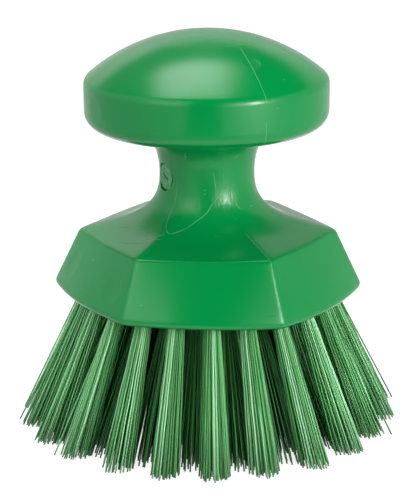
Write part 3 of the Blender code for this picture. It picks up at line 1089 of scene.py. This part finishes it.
inserts = 0.0
for angle, insert_height, radius, sphere in INSERTS:
    away_from = plastic.distance_to(on_surface(angle, insert_height)[0])
    inside = plastic.ramp(away_from, radius + INSERT_RIM, radius - INSERT_RIM)
    dish = (away_from * away_from - radius * radius) * (0.5 / sphere)
    lip = plastic.ramp(away_from, radius + 3 * INSERT_RIM, radius)
    lip = lip * plastic.ramp(away_from, radius - INSERT_RIM, radius)
    height = height + inside * dish + lip * INSERT_LIP
    inserts = inserts + inside
print(f"{len(INSERTS)} dishes")

# %% Its colour and gloss
PLASTIC_GREENS = (0.0, 0.254, 0.052, 1), (0.0, 0.275, 0.060, 1)
SCUFF_GREEN = (0.10, 0.36, 0.16, 1)

green = plastic.mix(plastic.noise(45, 3.0, 0.6), *PLASTIC_GREENS)
plastic.set(
    base_color=plastic.mix(dial * plastic.ramp(scuffs, 0.45, 0.65), green, SCUFF_GREEN),
    roughness=0.16 + skin * 0.06 + neck * 0.02 + inserts * 0.05 + scraped * 0.06,
    normal=plastic.bump(height, 1.0),
    specular_ior_level=0.42,
)
print(f"{len(plastic.tree.nodes)} nodes make the plastic")

# %% The paler plastic of the mould's lines
FLASH_GREENS = (0.03, 0.34, 0.10, 1), (0.14, 0.50, 0.24, 1)

pale_plastic = finish("green_plastic_flash")
pale_plastic.set(
    base_color=pale_plastic.mix(pale_plastic.noise(900), *FLASH_GREENS),
    roughness=0.25 + pale_plastic.noise(1500) * 0.15,
)
print(f"{len(pale_plastic.tree.nodes)} nodes make the paler plastic")

# %% Dress the moulding
moulding.data.materials.clear()
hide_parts("brush_block")
dressed = {moulding: plastic, wrinkles: plastic, parting: pale_plastic}
for piece, green_finish in dressed.items():
    piece.data.materials.append(green_finish.owner)
    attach(piece, "root")
print(f"The moulding is {len(dressed)} objects")

# %% [markdown]
# ## The filament
#
# A filament is drawn through a nozzle and crimped by toothed rollers, which the bump repeats
# along its length. Every filament has its own shade at random, stored on its points, and the
# palest stand partly for the glints of lit filaments, as painted highlight. The inner rings are
# painted darker, as painted shade, since little light gets in between them. So one material can
# serve every tuft. Towards the tips the green deepens, as painted shade too.

# %% Green filament
FILAMENT_DARK = (0.014, 0.10, 0.016, 1)
FILAMENT_MIDDLE = (0.10, 0.46, 0.12, 1)
# The pale end stands partly for the glints of lit filaments, as painted highlight.
FILAMENT_PALE = (0.43, 0.88, 0.48, 1)
# Painted shade: the colour darkens towards the trimmed tips, near the floor.
TIP_PAINTED_SHADE = 0.5
TIP_PAINTED_SHADE_HEIGHTS = (0.014, 0.001)
CRIMP_LENGTH = 0.0013
CRIMP_HEIGHT = 0.00002
# How far apart two filaments' crimps lie that differ by one whole shade, as an angle
CRIMP_SHIFT = 40

filament = finish("green_filament")
shade, along = (
    filament.node("ShaderNodeAttribute", {"attribute_name": name}, output="Fac")
    for name in ("shade", "along")
)
crimp = (along * (2 * math.pi / CRIMP_LENGTH) + shade * CRIMP_SHIFT).maths("SINE")
lower_half = filament.mix(filament.ramp(shade, 0, 0.5), FILAMENT_DARK, FILAMENT_MIDDLE)
tint = filament.mix(filament.ramp(shade, 0.5, 1), lower_half, FILAMENT_PALE)
painted_tip_shade = filament.ramp(filament.axes()[2], *TIP_PAINTED_SHADE_HEIGHTS) * TIP_PAINTED_SHADE
filament.set(
    base_color=filament.mix(painted_tip_shade, tint, FILAMENT_DARK),
    roughness=0.30,
    specular_ior_level=0.4,
    normal=filament.bump(crimp, CRIMP_HEIGHT),
)
print(f"{len(filament.tree.nodes)} nodes make the filament")

# %% [markdown]
# ## The steel
#
# Steel wire is drawn too, so its fine grain runs along the wire. One stretched noise gives the
# grain its colour, its gloss and its bump, so that the three agree.

# %% Steel
STEEL_GREYS = (0.42, 0.41, 0.39, 1), (0.66, 0.65, 0.63, 1)
GRAIN_HEIGHT = 0.00001

steel = finish("staple_steel")
grain = steel.noise(900, 3.0, 0.6, steel.stretched(1, 1, 0.08))
steel.set(
    base_color=steel.mix(grain, *STEEL_GREYS),
    metallic=1.0,
    roughness=0.25 + grain * 0.2,
    normal=steel.bump(grain, GRAIN_HEIGHT),
)
print(f"{len(steel.tree.nodes)} nodes make the steel")

# %% [markdown]
# ## Dressing the tufts
#
# Each tuft's solid gives way to its filaments. All tufts draw from one row of random numbers, so
# no two are alike, and yet the brush comes out the same on every run.

# %% Dress every tuft
RANDOM_SEED = 12
rng = np.random.default_rng(RANDOM_SEED)
filament_faces = 0
for name, ring, place in tuft_places():
    tuft = tuft_object(rng, f"filaments_{name}", place, ring, filament.owner)
    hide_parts(f"tuft_{name}")
    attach(tuft, "root")
    filament_faces += len(tuft.data.polygons)
    if ring == "heart":
        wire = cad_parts[f"staple_{name}"]
        wire.data.materials.clear()
        wire.data.materials.append(steel.owner)
    else:
        wire = staple_object(f"wire_{name}", place, steel.owner)
        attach(wire, "root")
print(f"{len(tuft_places())} tufts with {filament_faces} faces in all")

# %% [markdown]
# ## The studio's floor
#
# Glossy plastic shows the room it stands in. The photograph's reflections tell of a white tent
# that is open towards the camera, and of a white sheet on a grey table.
#
# The sheet widens with the camera's view, so it fills the picture. Its own glow keeps it white
# in the picture and in mirrors and leaves the brush's shadow on it. Near the brush the paper is
# greyer, as painted shade that throws less light back onto the brush, and it glows more, so it
# still looks white. The table beside the picture has a brighter streak at the right, a painted
# pool of light from the lamp there, which the neck mirrors. All this is one plain sheet with one
# finish, which has no seams that a mirror could show.

# %% The white sheet
CAMERA_SIDE = 272.1
SHEET_TURN = 0.037
SHEET_WIDENING = 0.09
SHEET_EDGE = (0.066, 0.09)
SHEET_FADE = (0.11, 0.30)
# The grey of the paper and the glow that keeps it white. Near the brush the paper is greyer, as
# painted shade, so it throws less light back onto the brush.
SHEET_NEAR = (0.42, 0.86)
SHEET_FAR = (0.80, 0.30)

floor_finish = finish("white_paper")
floor_x, floor_y, _ = floor_finish.axes()
from_middle = floor_finish.distance_to((0, 0, 0))
far_out = floor_finish.ramp(from_middle, *SHEET_FADE)
(near_painted_shade_grey, near_glow), (far_grey, far_glow) = SHEET_NEAR, SHEET_FAR
sheet = floor_finish.mix(far_out, shade_of_grey(near_painted_shade_grey), shade_of_grey(far_grey))
sheet_glow = near_glow + far_out * (far_glow - near_glow)
beside = (floor_x + floor_y * SHEET_TURN).maths("ABSOLUTE") - floor_y * SHEET_WIDENING
table = floor_finish.ramp(beside, *SHEET_EDGE)
print(f"The sheet is {2000 * SHEET_EDGE[0]:.0f} mm wide at the brush")

# %% The grey table and the painted pool of light on it
TABLE_GREY = 0.68
# Painted light: the table glows in a streak where the lamp at the right lights it, and mirrors show
# it.
STREAK_SIDE = 46
STREAK_WIDTH = 17
STREAK_REACH = (0.1, 1.1)
PAINTED_STREAK_GLOW = (0.4, 2.2)


def side_of(x, y):
    """The side on which a place lies, in degrees from the camera to the right."""
    return y.maths("ARCTAN2", x) * math.degrees(1) + (360 - CAMERA_SIDE)


from_streak = (side_of(floor_x, floor_y) - STREAK_SIDE) / STREAK_WIDTH
near_streak, far_streak = PAINTED_STREAK_GLOW
streak = floor_finish.ramp(from_middle, *STREAK_REACH) * (far_streak - near_streak) + near_streak
streak = (-(from_streak * from_streak)).maths("EXPONENT") * streak
print(f"The streak lies {STREAK_SIDE} degrees to the right of the camera")

# %% Floor
FLOOR_HALF_SIZE = 1.5
FLOOR_GAP = 0.0002

seen = 0.0
for ray in ("Is Camera Ray", "Is Glossy Ray", "Is Transmission Ray"):
    seen = seen + floor_finish.node("ShaderNodeLightPath", output=ray)
floor_finish.set(
    base_color=floor_finish.mix(table, sheet, shade_of_grey(TABLE_GREY)),
    roughness=0.9,
    specular_ior_level=0.2,
    emission_color=seen * (sheet_glow * (1 - table) + streak * table),
    emission_strength=1.0,
)
floor_mesh = bmesh.new()
bmesh.ops.create_grid(floor_mesh, x_segments=1, y_segments=1, size=FLOOR_HALF_SIZE)
floor = mesh_object("floor", floor_mesh, floor_finish.owner)
floor.location.z = -FLOOR_GAP
print(f"The floor is {2 * FLOOR_HALF_SIZE} m wide")

# %% [markdown]
# ## The studio's light
#
# The tent has pale walls up to a certain height, a dark ceiling with one large lamp over the
# back of the brush, a bright glow at the right and a weaker one at the left. All of that is the
# world's own light, which needs no objects. Only the sharp highlight in the neck needs a lamp
# that is near the brush: one small area lamp at the right.

# %% The small lamp at the right
BRUSH_MIDDLE = Vector((0, 0, 0.085))
LAMP_SIDE = 45
LAMP_HEIGHT = 14
LAMP_DISTANCE = 0.7
LAMP_WIDE = 0.10
LAMP_TALL = 0.24
LAMP_RADIANCE = 18


def studio_place(side, height, distance):
    """A place seen from the brush: side counts from the camera to the right, in degrees."""
    azimuth, elevation = math.radians(CAMERA_SIDE + side), math.radians(height)
    flat = math.cos(elevation)
    way = Vector((flat * math.cos(azimuth), flat * math.sin(azimuth), math.sin(elevation)))
    return BRUSH_MIDDLE + way * distance


def add_soft_box(name, place, wide, tall, radiance):
    """Adds a rectangular lamp that faces the brush and looks that bright from there."""
    lamp = bpy.data.lights.new(name, "AREA")
    lamp.shape = "RECTANGLE"
    lamp.size = wide
    lamp.size_y = tall
    lamp.energy = radiance * math.pi * wide * tall
    box = add_object(name, lamp)
    box.location = place
    box.rotation_euler = (place - BRUSH_MIDDLE).to_track_quat("Z", "Y").to_euler()


lamp_place = studio_place(LAMP_SIDE, LAMP_HEIGHT, LAMP_DISTANCE)
add_soft_box("box_right", lamp_place, LAMP_WIDE, LAMP_TALL, LAMP_RADIANCE)
print(f"The lamp stands {lamp_place.z * 1000:.0f} mm above the floor")

# %% The tent's walls and ceiling
# Each has four values: at the front left, the front right, the back left and the back right
WALL_HEIGHT = (64, 36, 25, 32)
WALL_LIGHT = (0.82, 0.58, 0.76, 0.58)
CEILING_LIGHT = (0.012, 0.012, 0.292, 0.012)
WALL_SOFTNESS = 4
LEFT_TO_RIGHT = (-0.3, 0.3)
FRONT_TO_BACK = (-0.1, 0.4)
# Straight behind the brush the wall is higher, and lighter from a certain height up
BEHIND_SIDE = (-0.15, 0.985)
BEHIND_EDGE = (0.74, 0.88)
HIGHER_BEHIND = 14
LIGHTER_BEHIND = 0.4
LIGHTER_ABOVE = (0.25, 0.4)

world = bpy.data.worlds.new("studio")
bpy.context.scene.world = world
tent = Nodes(world, "Background")
across, away, up = tent.axes(tent.node("ShaderNodeTexCoord", output="Generated"))
right = tent.ramp(across, *LEFT_TO_RIGHT)
back = tent.ramp(away, *FRONT_TO_BACK)
degrees_up = up.maths("ARCSINE") * math.degrees(1)
behind = tent.ramp(across * BEHIND_SIDE[0] + away * BEHIND_SIDE[1], *BEHIND_EDGE)


def around(front_left, front_right, back_left, back_right):
    """A value that goes smoothly from each quarter of the tent to the next."""
    front = front_left + right * (front_right - front_left)
    rear = back_left + right * (back_right - back_left)
    return front * (1 - back) + rear * back


edge = around(*WALL_HEIGHT) + behind * HIGHER_BEHIND
wall = around(*WALL_LIGHT) + behind * tent.ramp(up, *LIGHTER_ABOVE) * LIGHTER_BEHIND
ceiling = around(*CEILING_LIGHT)
above_wall = tent.ramp(degrees_up - edge, -WALL_SOFTNESS, WALL_SOFTNESS)
lit = ceiling + (wall - ceiling) * (1 - above_wall)
print(f"The walls reach {min(WALL_HEIGHT)} to {max(WALL_HEIGHT)} degrees up")

# %% The lamp over the roof: a soft-edged rectangle in a level plane one metre up
ROOF_LAMP_MIDDLE = (-0.13, 0.25)
ROOF_LAMP_REACH = (0.32, 0.36)
ROOF_LAMP_RADIANCE = 5.4
ROOF_LAMP_LOWEST = (0.3, 0.45)
ROOF_LAMP_FRONT_EDGE = (-0.14, -0.04)

overhead = tent.ramp(up, *ROOF_LAMP_LOWEST) * tent.ramp(away / up, *ROOF_LAMP_FRONT_EDGE)
overhead = overhead * ROOF_LAMP_RADIANCE
for direction, middle, reach in zip((across, away), ROOF_LAMP_MIDDLE, ROOF_LAMP_REACH):
    offset = (direction / up - middle) / reach
    squared = offset * offset
    overhead = overhead * (-(squared * squared)).maths("EXPONENT")
roof_lamp_size = " by ".join(f"{2 * reach:.2f}" for reach in ROOF_LAMP_REACH)
print(f"The roof lamp is {roof_lamp_size} m")

# %% The glows at the left and at the right
# The side and the height of each, how wide and tall it is, all in degrees, and its radiance
GLOWS = [(-38, 29, 22, 16, 1.75), (44, 9, 18, 18, 6.4)]

glow = 0.0
for side, height_up, wide, tall, radiance in GLOWS:
    a, b = (side_of(across, away) - side) / wide, (degrees_up - height_up) / tall
    glow = glow + (-(a * a + b * b)).maths("EXPONENT") * radiance
tent.set(color=lit + overhead + glow)
print(f"{len(tent.tree.nodes)} nodes make the tent")

# %% [markdown]
# ## The cards
#
# The tent's opening is dark. It could be a gap in the world, but then every point of the brush
# would see it in the same direction. A card stands in one place, and it also keeps light off the
# front, as a camera does. Its apron lies on the floor as painted shade and gets paler towards the
# brush, which greys the lower part of what the neck mirrors. The camera looks straight through
# the card.
#
# The second card is low and stands behind. It darkens what the slopes at the back mirror, and
# only mirrors see it.


# %% A card that some rays don't see
def add_card(name, corner_rows, card_finish, side, distance, hidden_from):
    """Adds a card that faces the camera and is hidden from some kinds of rays."""
    card_mesh = bmesh.new()
    rows = [[card_mesh.verts.new(corner) for corner in row] for row in corner_rows]
    for row, after in zip(rows, rows[1:]):
        card_mesh.faces.new((row[0], row[1], after[1], after[0]))
    card = mesh_object(name, card_mesh, card_finish.owner)
    card.location = studio_place(side, 0, distance)
    card.location.z = 0
    card.rotation_euler = (0, 0, math.radians(CAMERA_SIDE - 270))
    for ray in hidden_from:
        setattr(card, f"visible_{ray}", False)


def level_pair(half_width, y, z):
    return (-half_width, y, z), (half_width, y, z)


# %% The dark gap towards the camera, with its apron
GAP_HALF_WIDTH = 0.095
GAP_HEIGHT = 0.8
GAP_SIDE = -2
GAP_DISTANCE = 0.36
GAP_APRON = 0.24
GAP_DARK = 0.01
# The apron's grey is painted shade on the floor in front of the brush.
APRON_PAINTED_SHADE_GREY = 0.55
APRON_THICKNESS = 0.03
APRON_START = 0.36

dark = finish("dark_card")
_, towards_brush, above_floor = dark.axes()
apron = APRON_START + towards_brush * ((1 - APRON_START) / GAP_APRON)
apron = dark.ramp(above_floor, APRON_THICKNESS, 0.0) * apron
dark.set(
    base_color=dark.mix(apron, shade_of_grey(GAP_DARK), shade_of_grey(APRON_PAINTED_SHADE_GREY)),
    roughness=1.0,
    specular_ior_level=0.0,
)
gap_outline = [(GAP_APRON, 0), (0, 0), (0, GAP_HEIGHT)]
gap_rows = [level_pair(GAP_HALF_WIDTH, y, z) for y, z in gap_outline]
add_card("dark_card", gap_rows, dark, GAP_SIDE, GAP_DISTANCE, ("camera", "transmission"))
print(f"The dark card is {GAP_HEIGHT} m tall")

# %% The grey card behind, low over the floor
BACK_SIDE = 180
BACK_DISTANCE = 0.42
BACK_HALF_WIDTH = 0.2
BACK_HEIGHT = 0.085
BACK_GREYS = (0.42, 0.48)

grey = finish("grey_card")
grey.set(base_color=grey.mix(grey.noise(4), *map(shade_of_grey, BACK_GREYS)), roughness=1.0)
back_rows = [level_pair(BACK_HALF_WIDTH, 0, z) for z in (0, BACK_HEIGHT)]
unseen = ("camera", "diffuse", "transmission", "shadow")
add_card("back_card", back_rows, grey, BACK_SIDE, BACK_DISTANCE, unseen)
print(f"The grey card is {BACK_HEIGHT * 1000:.0f} mm tall")

# %% Colours as they are written
bpy.context.scene.view_settings.view_transform = "Standard"
print(f"View transform: {bpy.context.scene.view_settings.view_transform}")
